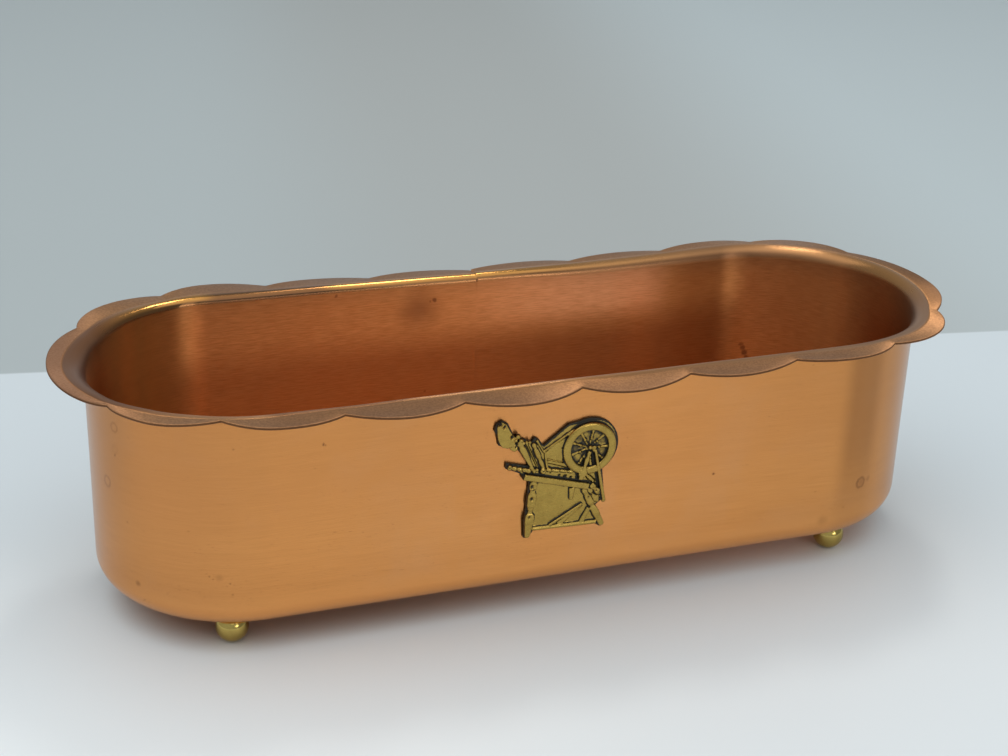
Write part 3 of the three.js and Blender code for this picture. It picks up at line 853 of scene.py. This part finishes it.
# Stains on the copper: x, y, z, radius, softness, strength
SPOTS = [
    # outside
    (-134.9, -21.0, 61.9, 0.55, 0.4, 0.8), (-132.9, -24.5, 41.1, 0.5, 0.4, 0.7),
    (-129.0, -29.7, 40.2, 0.4, 0.3, 0.5), (-117.2, -39.4, 43.3, 0.4, 0.3, 0.5),
    (-129.2, -29.4, 51.0, 0.4, 0.3, 0.4), (-104.0, -44.5, 70.8, 0.45, 0.3, 0.5),
    (-105.7, -44.1, 22.5, 0.45, 0.3, 0.5), (-130.0, -28.4, 15.6, 0.45, 0.3, 0.5),
    (-80.4, -45.5, 61.9, 0.4, 0.3, 0.5), (-81.2, -45.5, 28.8, 0.4, 0.3, 0.5),
    (-77.8, -45.5, 69.4, 0.6, 0.4, 0.8), (-77.0, -45.5, 69.0, 0.5, 0.4, 0.7),
    (50.8, -45.5, 41.7, 0.65, 0.4, 0.9), (68.9, -45.5, 59.6, 0.4, 0.3, 0.5),
    (89.3, -45.5, 29.6, 0.45, 0.3, 0.5), (83.1, -45.5, 76.1, 0.4, 0.3, 0.4),
    (-131.1, -27.1, 21.1, 1.4, 1.2, 0.5), (-109.3, -43.0, 28.3, 1.9, 1.8, 0.25),
    (107.8, -43.5, 29.6, 2.2, 2.0, 0.35), (106.2, -44.0, 30.2, 0.9, 0.6, 0.6),
    (108.9, -43.2, 28.9, 0.8, 0.5, 0.5), (110.8, -42.5, 30.0, 1.6, 1.4, 0.35),
    (-111.9, -42.0, 28.6, 0.45, 0.3, 0.6), (-111.0, -42.4, 27.6, 0.4, 0.3, 0.5),
    (-106.3, -43.9, 26.3, 0.45, 0.3, 0.6), (-107.2, -43.6, 25.4, 0.35, 0.3, 0.5),
    (-129.6, -28.9, 16.1, 0.5, 0.3, 0.6), (-128.6, -30.0, 15.7, 0.35, 0.3, 0.5),
    (93.2, -45.5, 18.1, 3.0, 3.0, 0.25), (16.0, -45.5, 57.0, 12.0, 5.0, 0.07),
    (-14.0, -45.5, 34.0, 9.0, 6.0, 0.06),
    # inside
    (-15.4, 44.7, 74.4, 1.3, 0.8, 0.9), (-17.0, 44.7, 74.0, 0.8, 0.5, 0.7),
    (-23.4, 44.7, 72.8, 1.2, 1.0, 0.5), (-21.0, 44.7, 71.5, 11.0, 11.0, 0.6),
    (-50.4, 44.7, 79.3, 0.8, 0.5, 0.7), (-18.6, 44.7, 40.0, 0.6, 0.4, 0.6),
    (104.9, 43.5, 45.0, 1.3, 0.9, 0.6), (105.6, 43.3, 43.4, 1.4, 0.9, 0.75),
    (106.4, 43.1, 41.6, 1.6, 1.0, 0.8), (107.1, 42.9, 39.6, 1.4, 1.0, 0.7),
    (-95.1, 44.7, 83.0, 0.9, 0.6, 0.6),
]
# x, y, z, radius, width of the line, strength
RINGS = [
    (-134.7, -21.3, 71.2, 1.4, 0.6, 0.3), (-134.9, -21.0, 64.0, 1.2, 0.5, 0.15),
    (-137.1, -16.0, 51.3, 1.7, 0.7, 0.35), (107.4, -43.7, 29.5, 1.7, 0.8, 0.5),
]


# linear colours of the copper
OUTER, OUTER_PALE = (0.66, 0.286, 0.088), (0.75, 0.33, 0.103)
OUTER_CLOUD, OUTER_WARM = (0.70, 0.34, 0.14), (0.62, 0.27, 0.10)
# painted highlight along the bottom of the outer wall, painted shade towards its top
OUTER_BOTTOM_HIGHLIGHT, OUTER_TOP_SHADE = (0.91, 0.415, 0.135), (0.48, 0.18, 0.06)
# painted shade at the two round ends of the outer wall
OUTER_LEFT_SHADE, OUTER_RIGHT_SHADE = (0.42, 0.18, 0.08), (0.42, 0.18, 0.07)
# small pits, and a band of painted shade by the right end
PIT, STRIPE_SHADE = (0.34, 0.13, 0.05), (0.30, 0.13, 0.05)
INNER, INNER_PALE = (0.50, 0.21, 0.068), (0.655, 0.28, 0.096)
# the second is painted shade low down on the inside
INNER_WARM, INNER_LOW_SHADE = (0.50, 0.203, 0.065), (0.36, 0.135, 0.045)
# a pale painted reflection along the back, and a painted highlight at the left end
PALE_REFLECTION, INNER_LEFT_HIGHLIGHT = (0.86, 0.41, 0.195), (0.86, 0.36, 0.09)
# painted shade near where the right end begins and at the right end of the inside
INNER_CORNER_SHADE, INNER_RIGHT_SHADE = (0.36, 0.105, 0.02), (0.28, 0.105, 0.035)
FLANGE, FLANGE_OUT = (0.54, 0.26, 0.105), (0.475, 0.24, 0.114)
# flange paler towards the round ends; darker and greyer at the left tip
FLANGE_PALE_ENDS, FLANGE_LEFT = (0.68, 0.36, 0.17), (0.28, 0.152, 0.09)
FLANGE_GRAIN = (0.22, 0.105, 0.055)
LIP, LIP_FAR = (0.42, 0.205, 0.055), (0.37, 0.185, 0.085)
# painted shade on the lip at the back left and at the left end
LIP_BACK_SHADE, LIP_LEFT_SHADE = (0.15, 0.068, 0.03), (0.225, 0.085, 0.03)
STREAK, SHADE = (0.48, 0.18, 0.055), (0.15, 0.07, 0.035)
STAIN, CUT_EDGE = (0.20, 0.075, 0.03), (0.19, 0.09, 0.045)


def outer_colour(t):
    """Painted highlight along the bottom, painted shade at the top, the ends and in a band by the
    right end.
    """
    cloud = t.noise(t.place, 30, 4.0, 0.6, 0.4)
    pits = t.noise(t.stretch(t.place, (1, 1, 1.4)), 1300, 1.0)
    pits = t.plus(pits, t.fade(t.z, 34, 14, 0.035))
    # a band of painted shade by the right end, fainter low down
    shade_stripe = t.times(t.fade(t.along, 447.5, 455.5), t.fade(t.along, 471.5, 462.5, 0.5),
                     t.span(t.z, 0.015, 0.048, 0.2, 1.0))
    return t.layered(
        t.mix(t.fit(t.fine, 0.3, 0.7), OUTER, OUTER_PALE),
        (t.fit(cloud, 0.45, 0.75, 0.45), OUTER_CLOUD),
        (t.fit(t.warm, 0.55, 0.8, 0.3), OUTER_WARM),
        (t.fit(pits, 0.68, 0.76, 0.5), PIT),
        # painted highlight along the bottom, painted shade towards the top
        (t.fade(t.z, 24, 12, 0.8), OUTER_BOTTOM_HIGHLIGHT),
        (t.fade(t.z, 28, 60, 0.23), OUTER_TOP_SHADE),
        # painted shade at the two ends
        (t.fade(t.x, -88, -128, 0.24), OUTER_LEFT_SHADE),
        (t.fade(t.x, 116, 136, 0.4), OUTER_RIGHT_SHADE),
        (shade_stripe, STRIPE_SHADE))


def inner_colour(t):
    """Painted shade low down and at the right end, painted highlight at the left, pale painted
    reflection at the back.
    """
    # painted shade low down, fading out towards the right end
    low_shade = t.times(t.fade(t.z, 68, 50), t.fade(t.x, 88, 70, 0.34))
    # a pale painted reflection along the upper inside wall, broken up by the brushing
    pale_reflection = t.times(t.fade(t.x, -20, 45), t.fade(t.x, 77, 62), t.fade(t.z, 57, 70),
                      t.span(t.dashes, 0.3, 0.65, 0.55, 0.95))
    # a painted highlight at the left end of the inside
    left = t.times(t.fade(t.x, -100, -120), t.fade(t.x, -139, -125, 0.7))
    # painted shade near where the right end begins
    corner = t.times(t.fade(t.x, 70, 84), t.fade(t.x, 100, 91, 0.48))
    return t.layered(
        t.mix(t.fit(t.dashes, 0.3, 0.7), INNER, INNER_PALE),
        (t.fit(t.warm, 0.5, 0.75, 0.4), INNER_WARM),
        (low_shade, INNER_LOW_SHADE),
        (pale_reflection, PALE_REFLECTION),
        (left, INNER_LEFT_HIGHLIGHT),
        (corner, INNER_CORNER_SHADE),
        # painted shade at the right end
        (t.fade(t.x, 100, 130, 0.5), INNER_RIGHT_SHADE))


def flange_colour(t):
    sideways = t.math("ABSOLUTE", t.x)
    # paler towards the round ends
    pale_ends = t.times(t.fade(sideways, 86, 106), t.fade(sideways, 144, 130, 0.45))
    return t.layered(
        t.mix(t.far, FLANGE, FLANGE_OUT),
        (pale_ends, FLANGE_PALE_ENDS),
        (t.fade(t.x, -125, -147, 0.95), FLANGE_LEFT),
        (t.fit(t.grain, 0.38, 0.62, 0.32), FLANGE_GRAIN))


def lip_colour(t):
    # painted shade on the lip at the back left, dimming its highlight
    back_shade = t.times(t.fade(t.x, -98, -90), t.fade(t.x, -46, -58, 0.85))
    return t.layered(
        t.mix(t.far, LIP, LIP_FAR),
        (back_shade, LIP_BACK_SHADE),
        # painted shade on the lip at the left end
        (t.fade(t.x, -112, -136, 0.8), LIP_LEFT_SHADE))


def brushing(t):
    """The direction the copper is brushed in: along the dish, but across the flange."""
    along = t.add("ShaderNodeTangent", direction_type="UV_MAP", uv_map="sheet").outputs[0]
    facing = t.add("ShaderNodeNewGeometry").outputs["Normal"]
    turned = t.vector_math("CROSS_PRODUCT", facing, along)["Vector"]
    inputs = {0: t.top, 4: along, 5: turned}
    return t.add("ShaderNodeMix", inputs, data_type="VECTOR").outputs[1]


def copper():
    """The dish's metal. Its zones are the marks on the corners of the sheet."""
    t = Tree("copper")
    uv = t.add("ShaderNodeUVMap", uv_map="sheet").outputs[0]
    t.place = t.position()
    t.top, t.inner, t.lip = t.attribute("zones")
    t.edge, t.shade, t.far = t.attribute("rim")
    t.x, _, t.z = t.add("ShaderNodeSeparateXYZ", {0: t.place}).outputs
    t.along = t.add("ShaderNodeSeparateXYZ", {0: uv}).outputs[0]
    t.fine = t.noise(t.stretch(uv, (60, 3000, 1)), 1.0, 3.0, 0.6)
    t.dashes = t.noise(t.stretch(uv, (170, 2400, 1)), 1.0, 3.0, 0.65)
    coarse = t.noise(t.stretch(uv, (14, 420, 1)), 1.0, 3.0, 0.55)
    t.grain = t.noise(t.place, 1500, 3.0, 0.7)
    t.warm = t.noise(t.place, 48, 5.0, 0.62, 0.6)
    base = t.layered(
        t.mix(t.inner, outer_colour(t), inner_colour(t)),
        (t.fit(coarse, 0.3, 0.7, 0.08), STREAK),
        (t.top, flange_colour(t)),
        (t.lip, lip_colour(t)),
        (t.times(t.shade, 0.55), SHADE),
        (t.stains(t.shaken(t.place, 700, 1.0), SPOTS, RINGS), STAIN),
        (t.times(t.edge, 0.8), CUT_EDGE))
    rough = t.span(t.fine, 0.3, 0.7, 0.21, 0.24)
    for zone, more in ((t.inner, t.span(t.dashes, 0.3, 0.7, 0.1, 0.16)),
                       (t.top, t.span(t.grain, 0.3, 0.7, 0.24, 0.34)),
                       (t.lip, t.span(t.far, 0.0, 1.0, -0.1, 0.1)),
                       (t.edge, 0.25)):
        rough = t.plus(rough, t.times(zone, more))
    height = t.plus(t.times(t.fine, 0.6), t.times(coarse, 0.3))
    return t.finish(base, rough, {
        "Normal": t.bump(height, 0.05, 0.06), "Tangent": brushing(t),
        "Metallic": 1.0, "Anisotropic": 0.95, "Anisotropic Rotation": 0.25})


def polished_brass(name, colour, worn, rough_low, rough_high):
    t = Tree(name)
    place = t.position()
    cloud = t.noise(place, 160, 4.0, 0.6)
    scratch = t.noise(t.stretch(place, (300, 300, 5200)), 1.0, 3.0, 0.6)
    base = t.mix(t.fit(cloud, 0.4, 0.75), colour, worn)
    rough = t.span(scratch, 0.3, 0.7, rough_low, rough_high)
    rough = t.plus(rough, t.fit(cloud, 0.4, 0.8, 0.08))
    return t.finish(base, rough, {"Normal": t.bump(scratch, 0.08, 0.03), "Metallic": 1.0})


def cast_brass():
    """Brass, black where patina is left. A cloudy pattern breaks up the patina's edge."""
    t = Tree("cast_brass")
    place = t.position()
    grain = t.noise(place, 2200, 3.0, 0.6)
    cloud = t.noise(place, 420, 4.0, 0.62)
    scratch = t.noise(t.stretch(place, (500, 500, 4200)), 1.0, 3.0, 0.6)
    black = t.plus(t.attribute("patina")[0], t.span(cloud, 0.3, 0.75, -0.16, 0.2))
    black = t.fit(black, 0.3, 0.8)
    face = t.mix(t.fit(cloud, 0.35, 0.75), (0.43, 0.285, 0.068), (0.36, 0.235, 0.056))
    base = t.mix(black, face, (0.022, 0.018, 0.010))
    rough = t.plus(t.span(scratch, 0.3, 0.7, 0.22, 0.32), t.times(black, 0.25))
    metal = t.span(black, 0.0, 1.0, 1.0, 0.35)
    height = t.plus(t.times(grain, 0.5), cloud)
    return t.finish(base, rough, {"Normal": t.bump(height, 0.08, 0.05), "Metallic": metal})


def spring_steel():
    t = Tree("spring_steel")
    cloud = t.noise(t.position(), 300, 4.0, 0.6)
    base = t.mix(t.fit(cloud, 0.4, 0.7), (0.36, 0.36, 0.37), (0.25, 0.24, 0.24))
    rough = t.span(cloud, 0.3, 0.7, 0.34, 0.5)
    return t.finish(base, rough, {"Normal": t.bump(cloud, 0.1, 0.04), "Metallic": 1.0})


# ---- stage, light and camera

BACKWARDS, SIDEWAYS = (0.1602, 0.9871, 0), (0.9871, -0.1602, 0)
TABLE_END = (164.6, 166.8)  # backwards from the middle of the dish


def floor():
    """The table, and beyond its end the backdrop."""
    a = 3000
    obj = mesh_object("floor", [(-a, -a, 0), (a, -a, 0), (a, a, 0), (-a, a, 0)], [(0, 1, 2, 3)],
                      smooth=False)
    if obj.data.polygons[0].normal.z < 0:
        obj.data.flip_normals()
    t = Tree("floor")
    place = t.position()
    back = t.vector_math("DOT_PRODUCT", place, BACKWARDS)["Value"]
    side = t.vector_math("DOT_PRODUCT", place, SIDEWAYS)["Value"]
    cloud = t.noise(place, 3, 2.0)
    # painted shadow and painted reflection of the copper on the table close to the dish, darker to
    # the left
    x, y, _ = t.add("ShaderNodeSeparateXYZ", {0: place}).outputs
    beside = t.math("MAXIMUM", t.math("SUBTRACT", t.math("ABSOLUTE", x), END * MM), 0.0)
    apart = t.math("SQRT", t.plus(t.times(beside, beside), t.times(y, y)))
    copper_shadow_reflection = t.mix(t.fade(x, -100, 130), (0.46, 0.355, 0.295), (0.84, 0.74, 0.68))
    # painted light: the table lighter at the left, darker and bluer further back
    table = t.layered(
        t.mix(t.fade(side, -80, 70), (0.80, 0.84, 0.85), (0.725, 0.765, 0.78)),
        (t.fade(back, -110, 50), (0.61, 0.67, 0.70)),
        (t.fit(cloud, 0.3, 0.7, 0.1), (0.62, 0.64, 0.65)),
        (t.fade(apart, 45, 26), copper_shadow_reflection))
    # painted light: the backdrop darker behind the dish and lighter to the right
    backdrop = t.layered(
        t.mix(t.fade(side, -120, 40), (0.406, 0.452, 0.458), (0.38, 0.402, 0.395)),
        (t.fade(side, 120, 340), (0.475, 0.537, 0.552)))
    base = t.mix(t.fade(back, *TABLE_END), table, backdrop)
    obj.data.materials.append(t.finish(base, 0.5, {"Specular IOR Level": 0.25}))


def area_light(name, place, size, energy, colour):
    """A rectangular lamp that points at the dish. Place and size are in metres."""
    light = bpy.data.lights.new(name, "AREA")
    light.shape, light.size, light.size_y = "RECTANGLE", *size
    light.energy, light.color = energy, colour
    obj = bpy.data.objects.new(name, light)
    bpy.context.scene.collection.objects.link(obj)
    obj.location = place
    obj.rotation_mode = "QUATERNION"
    obj.rotation_quaternion = (Vector(place) - Vector((0, 0, 0.04))).to_track_quat("Z", "Y")


def world():
    """An even soft light all round, a good deal weaker from one side."""
    t = Tree("room", bpy.data.worlds)
    direction = t.add("ShaderNodeTexCoord").outputs["Generated"]
    toward = t.vector_math("DOT_PRODUCT", direction, (0.867, -0.498, 0))["Value"]
    inputs = {"Color": (0.515, 0.55, 0.57, 1), "Strength": t.span(toward, 0.2, 1.0, 1.0, 0.55)}
    background = t.add("ShaderNodeBackground", inputs)
    t.add("ShaderNodeOutputWorld", {0: background.outputs[0]})
    bpy.context.scene.world = t.owner


def camera():
    """The photograph's camera: direction, roll, focal length and place were fitted to it."""
    azimuth, pitch, roll = [math.radians(angle) for angle in (20.315, 23.780, 1.9088)]
    target, distance = Vector((-5.318, 0, 62.642)), 577.5
    level = Vector((math.sin(azimuth), math.cos(azimuth), 0))
    forward = level * math.cos(pitch) - Vector((0, 0, math.sin(pitch)))
    right = Vector((level.y, -level.x, 0))
    up = right.cross(forward)
    right, up = (right * math.cos(roll) + up * math.sin(roll),
                 up * math.cos(roll) - right * math.sin(roll))
    data = bpy.data.cameras.new("camera")
    data.sensor_width, data.lens = 36.0, 62.66
    data.clip_start = 0.01
    obj = bpy.data.objects.new("camera", data)
    bpy.context.scene.collection.objects.link(obj)
    place = (target - forward * distance) * MM
    turn = Matrix((right, up, -forward)).transposed().to_4x4()
    obj.matrix_world = Matrix.Translation(place) @ turn
    bpy.context.scene.camera = obj


# ---- everything together

def dress(obj, material, node):
    obj.data.materials.clear()
    obj.data.materials.append(material)
    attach(obj, "root")
    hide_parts(node)


camera()
world()
floor()
DAYLIGHT = (1.0, 0.98, 0.95)
area_light("lamp", (0.31, 0.5, 1.2), (0.18, 0.30), 2.4, (1.0, 0.97, 0.92))
area_light("window", (0.625, -1.53, 0.45), (0.35, 0.2), 1.75, DAYLIGHT)
area_light("window_side", (0.31, -1.55, 0.45), (0.28, 0.2), 0.55, DAYLIGHT)
area_light("panes", (0.60, -1.40, 0.95), (0.30, 0.8), 0.8, DAYLIGHT)
area_light("ceiling", (-0.3, -0.3, 1.4), (2.4, 2.1), 15.8, (0.97, 0.985, 1.0))

dress(dish_shell(), copper(), "dish_body")
brass = polished_brass("polished_brass", (0.50, 0.365, 0.105), (0.42, 0.30, 0.085), 0.10, 0.18)
screw_metal = polished_brass("screw_brass", (0.60, 0.47, 0.18), (0.45, 0.34, 0.13), 0.24, 0.36)
steel = spring_steel()
for corner, spot in CORNERS.items():
    dress(ball_foot(corner, spot), brass, f"foot_{corner}")
    dress(foot_screw(corner, spot), screw_metal, f"foot_screw_{corner}")
dress(relief(), cast_brass(), "emblem")
for side, spot in STUDS.items():
    dress(push_nut(side, spot), steel, f"emblem_nut_{side}")

view = bpy.context.scene.view_settings
view.view_transform = "Standard"
